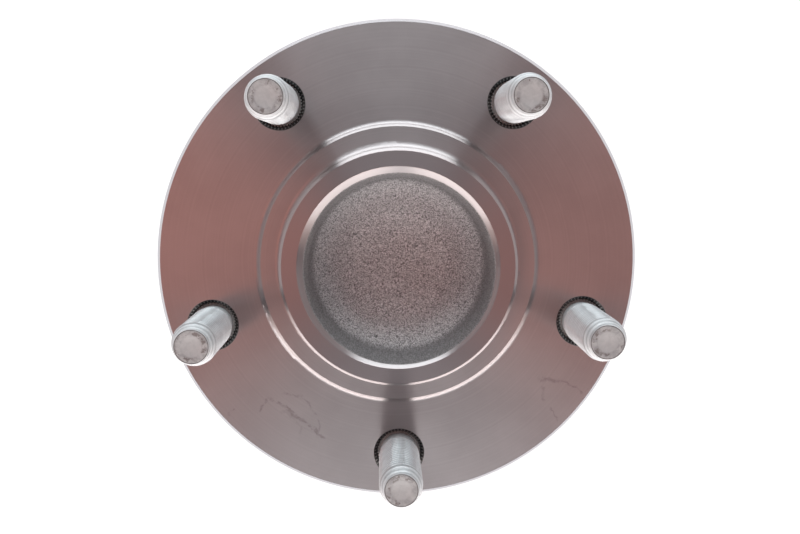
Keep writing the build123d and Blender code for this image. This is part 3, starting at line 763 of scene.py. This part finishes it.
def head_mesh(name):
    """The stud's round head behind the flange, with a shallow forged recess."""
    rows = [(HEAD_Z + depth, flat(radius)) for radius, depth in HEAD_RECESS]
    for i in range(HEAD_ROUND_STEPS + 1):
        t = math.pi / 2 * i / HEAD_ROUND_STEPS
        radius = HEAD_R - HEAD_ROUND * (1 - math.sin(t))
        rows.append((HEAD_Z + HEAD_ROUND * (1 - math.cos(t)), flat(radius)))
    rows += [(FLANGE_BACK_Z, flat(HEAD_R)), (FLANGE_BACK_Z, flat(STUD_HOLE_R))]
    mesh = lathe(name, rows, HEAD_SEGMENTS, close_low=True)
    smooth(mesh, 30.0)
    return mesh


def add_to_stud(name, mesh, shader, place, stands_for=()):
    """A mesh at place (X and Y in millimetres) that rides the hub and has the studs' slot."""
    mesh.materials.append(shader.material)
    piece = bpy.data.objects.new(name, mesh)
    bpy.context.scene.collection.objects.link(piece)
    piece.location = (place[0] * MM, place[1] * MM, 0.0)
    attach(piece, "hub")
    if stands_for:
        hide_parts(*stands_for)


random.seed(7)
for number, node in enumerate(STUDS, start=1):
    place = stud_axis(node)
    turn = random.uniform(0.0, 2 * math.pi)
    coating = coated_stud(number)
    shank, knurl, head = (f"stud_{number}_{piece}" for piece in ("shank", "knurl", "head"))
    add_to_stud(shank, shank_mesh(shank, turn), coating, place, [node])
    # the knurl's darker finish is painted shade of the hole
    add_to_stud(knurl, knurl_mesh(knurl, turn), finishes["knurl_shaded"], place)
    add_to_stud(head, head_mesh(head), coating, place)

# ---------------------------------------------------------------- floor

FLOOR_HALF = 4000.0
FLOOR_COLOUR = (0.86, 0.86, 0.86)
WHITE = (1.0, 1.0, 1.0)
SHADOW_SHARE = 0.22            # how much of the floor's white is light that a shadow can take


def floor_material():
    """Pale floor: plain for the light that it bounces, white where it is seen, shadow kept."""
    s = Shader("floor_white")
    plain = s.node("ShaderNodeBsdfDiffuse", Color=FLOOR_COLOUR)
    glow = s.node("ShaderNodeEmission", Color=WHITE, Strength=1.0 - SHADOW_SHARE * 0.5)
    faint = s.node("ShaderNodeBsdfDiffuse", Color=(SHADOW_SHARE,) * 3)
    white = s.node("ShaderNodeAddShader", in0=glow.outputs[0], in1=faint.outputs[0])
    s.finish(s.node("ShaderNodeMixShader", in0=s.background_rays(),
                    in1=plain.outputs[0], in2=white.outputs[0]))
    return s


floor_mesh = bpy.data.meshes.new("floor")
floor_mesh.from_pydata(
    [
        (x * FLOOR_HALF * MM, y * FLOOR_HALF * MM, FLOOR_Z * MM)
        for x, y in ((-1, -1), (1, -1), (1, 1), (-1, 1))
    ],
    [],
    [(0, 1, 2, 3)],
)
floor_mesh.materials.append(floor_material().material)
floor = bpy.data.objects.new("floor", floor_mesh)
bpy.context.scene.collection.objects.link(floor)

# ---------------------------------------------------------------- lamps and world


def area_light(name, place, size_x, size_y, radiance, colour):
    """A soft rectangular light of a given radiance, turned to the object; metres."""
    data = bpy.data.lights.new(name, "AREA")
    data.shape = "RECTANGLE"
    data.size, data.size_y = size_x, size_y
    data.energy = radiance * math.pi * size_x * size_y
    data.color = colour
    light = bpy.data.objects.new(name, data)
    bpy.context.scene.collection.objects.link(light)
    light.location = place
    light.rotation_euler = (-Vector(place)).to_track_quat("-Z", "Y").to_euler()
    light.visible_camera = False


area_light("light_top", (0.0, 1.2, 0.44), 1.5, 1.05, 3.45, (0.87, 0.975, 1.0))
area_light("light_bottom", (0.0, -0.95, 0.38), 2.8, 0.85, 3.3, (0.955, 0.97, 0.965))

# The world's colours. Bounds below are the X, Y and Z of a direction, from -1 to 1.
CEILING = (0.30, 0.29, 0.305)
LOW_GREY = (0.11, 0.11, 0.14)
LEFT_WALL = (1.44, 0.62, 0.49)
RIGHT_WALL = (0.90, 0.45, 0.385)
LOW_BAND = (2.3, 1.8, 1.6)     # bright and low on the -Y side; bevels reflect it


def studio_world():
    """Dim ceiling with warm walls on the left and right, grey lower down, white at the horizon."""
    world = bpy.data.worlds.new("studio")
    bpy.context.scene.world = world
    world.use_nodes = True
    s = Nodes(world.node_tree, "ShaderNodeOutputWorld")
    x, y, z = s.split(s.node("ShaderNodeTexCoord").outputs["Generated"])

    # the walls narrow towards +Y and -Y, a little more towards +Y
    sideways = s.math("MULTIPLY_ADD", s.math("ABSOLUTE", y), -0.48, s.math("ABSOLUTE", x))
    sideways = s.math("MULTIPLY_ADD", s.math("MAXIMUM", y, 0.0), -0.15, sideways)
    walls = s.mix(s.step(x, -0.1, 0.1), LEFT_WALL, RIGHT_WALL)
    colour = s.mix(s.step(sideways, 0.02, 0.36), CEILING, walls)
    colour = s.mix(s.step(z, 0.60, 0.90), LOW_GREY, colour)

    # low views see the world beyond the floor's edge, so it is white there, as the floor is
    backdrop = s.math("MULTIPLY", s.background_rays(), s.step(z, 0.34, 0.30))
    colour = s.mix(backdrop, colour, WHITE)
    low_band = s.math("MULTIPLY", s.step(y, -0.30, -0.45), s.step(z, 0.26, 0.18))
    colour = s.mix(low_band, colour, LOW_BAND)
    s.finish(s.node("ShaderNodeBackground", Color=colour, Strength=1.0))


studio_world()

# ---------------------------------------------------------------- camera

# place in metres and turn in degrees, from the camera model fitted to the photograph
CAMERA_PLACE_M = (-0.00493, 0.03032, 0.26097)
CAMERA_TURN = (-6.829, -1.2735, -0.3771)

camera_data = bpy.data.cameras.new("camera")
camera_data.lens = 40.44
camera_data.sensor_width = 36.0
camera_data.clip_start = 0.01
camera = bpy.data.objects.new("camera", camera_data)
bpy.context.scene.collection.objects.link(camera)
camera.location = CAMERA_PLACE_M
camera.rotation_euler = [math.radians(angle) for angle in CAMERA_TURN]
bpy.context.scene.camera = camera
bpy.context.scene.view_settings.view_transform = "Standard"
